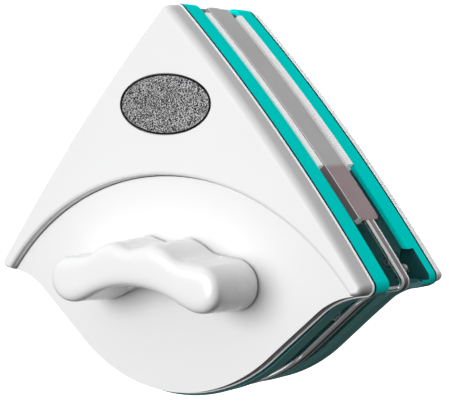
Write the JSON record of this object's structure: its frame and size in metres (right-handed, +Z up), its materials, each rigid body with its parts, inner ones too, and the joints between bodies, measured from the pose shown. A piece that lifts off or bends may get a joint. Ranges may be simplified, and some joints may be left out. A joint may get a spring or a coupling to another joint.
{
  "type": "magnetic glass cleaner",
  "caption": "Double-sided triangular magnetic glass cleaner: matching wiper halves with block handles, held together over a clear spacer.",
  "frame": {"origin": "in the plane where the pane lies, midway between the halves, at the level of the two lower corners", "axes": "+X to the right, +Y from the front half through the pane to the rear half, +Z up towards the apex"},
  "size_m": [0.1876, 0.113, 0.1618],
  "materials": {
    "cover_white": "smooth white moulded plastic",
    "base_teal": "fine-textured teal moulded plastic",
    "handle_white": "smooth white moulded plastic",
    "badge_inlay": "dark grey glitter film under clear lacquer",
    "yoke_steel": "zinc-plated mild steel",
    "magnet_nickel": "nickel-plated magnet",
    "screw_steel": "plated steel",
    "blade_rubber": "white silicone rubber with fine ribs",
    "pad_cloth": "white looped cleaning cloth",
    "spacer_clear": "clear moulded plastic with a slight warm tint"
  },
  "bodies": {
    "front_half": {"front_cover": "cover_white", "front_base": "base_teal", "front_handle": "handle_white", "front_badge": "badge_inlay", "front_wiper_blade_left": "blade_rubber", "front_wiper_blade_right": "blade_rubber", "front_cleaning_pad": "pad_cloth", "front_cord_anchor": "screw_steel", "front_upper_yoke": "yoke_steel", "front_lower_yoke": "yoke_steel", "front_upper_left_magnet": "magnet_nickel", "front_upper_right_magnet": "magnet_nickel", "front_lower_left_magnet": "magnet_nickel", "front_lower_right_magnet": "magnet_nickel", "front_apex_screw": "screw_steel", "front_left_screw": "screw_steel", "front_right_screw": "screw_steel", "front_lower_left_screw": "screw_steel", "front_lower_right_screw": "screw_steel", "front_handle_left_screw": "screw_steel", "front_handle_right_screw": "screw_steel"},
    "spacer": {"spacer": "spacer_clear"},
    "rear_half": {"rear_cover": "cover_white", "rear_base": "base_teal", "rear_handle": "handle_white", "rear_badge": "badge_inlay", "rear_wiper_blade_left": "blade_rubber", "rear_wiper_blade_right": "blade_rubber", "rear_cleaning_pad": "pad_cloth", "rear_cord_anchor": "screw_steel", "rear_upper_yoke": "yoke_steel", "rear_lower_yoke": "yoke_steel", "rear_upper_left_magnet": "magnet_nickel", "rear_upper_right_magnet": "magnet_nickel", "rear_lower_left_magnet": "magnet_nickel", "rear_lower_right_magnet": "magnet_nickel", "rear_apex_screw": "screw_steel", "rear_left_screw": "screw_steel", "rear_right_screw": "screw_steel", "rear_lower_left_screw": "screw_steel", "rear_lower_right_screw": "screw_steel", "rear_handle_left_screw": "screw_steel", "rear_handle_right_screw": "screw_steel"}
  },
  "joints": [
    {"name": "spacer_slide", "type": "slide", "parent": "front_half", "child": "spacer", "axis": [0, 1, 0], "range_m": [0, 0.06], "stiffness_N_per_m": 100},
    {"name": "rear_slide", "type": "slide", "parent": "spacer", "child": "rear_half", "axis": [0, 1, 0], "range_m": [0, 0.06], "stiffness_N_per_m": 100}
  ]
}
